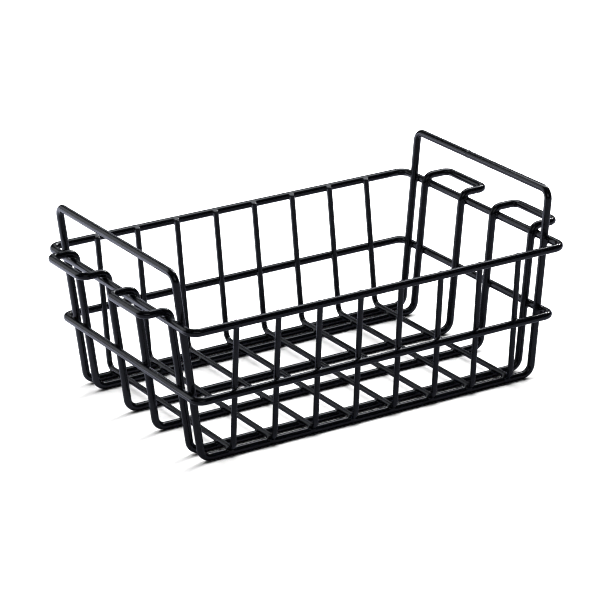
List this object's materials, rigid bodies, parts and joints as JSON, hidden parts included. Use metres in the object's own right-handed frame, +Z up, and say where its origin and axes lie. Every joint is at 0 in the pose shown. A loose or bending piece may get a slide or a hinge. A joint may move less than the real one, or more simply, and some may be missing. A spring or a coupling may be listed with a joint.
{
  "type": "hanging wire basket",
  "caption": "Open-top wire basket with walls that lean outwards, an upright handle over each end and flat hooks that hang it from ledges.",
  "frame": {"origin": "middle of the bounding box's underside, on the surface that the bottom bars stand on", "axes": "+X along the basket towards its right end, +Y across it towards its back, +Z up out of its mouth"},
  "size_m": [0.342, 0.2126, 0.142],
  "materials": {
    "black_coating": "gloss dip coating over steel wire"
  },
  "bodies": {
    "root": {"top_rim": "black_coating", "middle_ring": "black_coating", "handle_loop": "black_coating", "hook_loop_back": "black_coating", "hook_loop_front": "black_coating", "cross_wire_1": "black_coating", "cross_wire_2": "black_coating", "cross_wire_3": "black_coating", "cross_wire_4": "black_coating", "cross_wire_5": "black_coating", "cross_wire_6": "black_coating", "cross_wire_7": "black_coating", "cross_wire_8": "black_coating"}
  },
  "joints": []
}
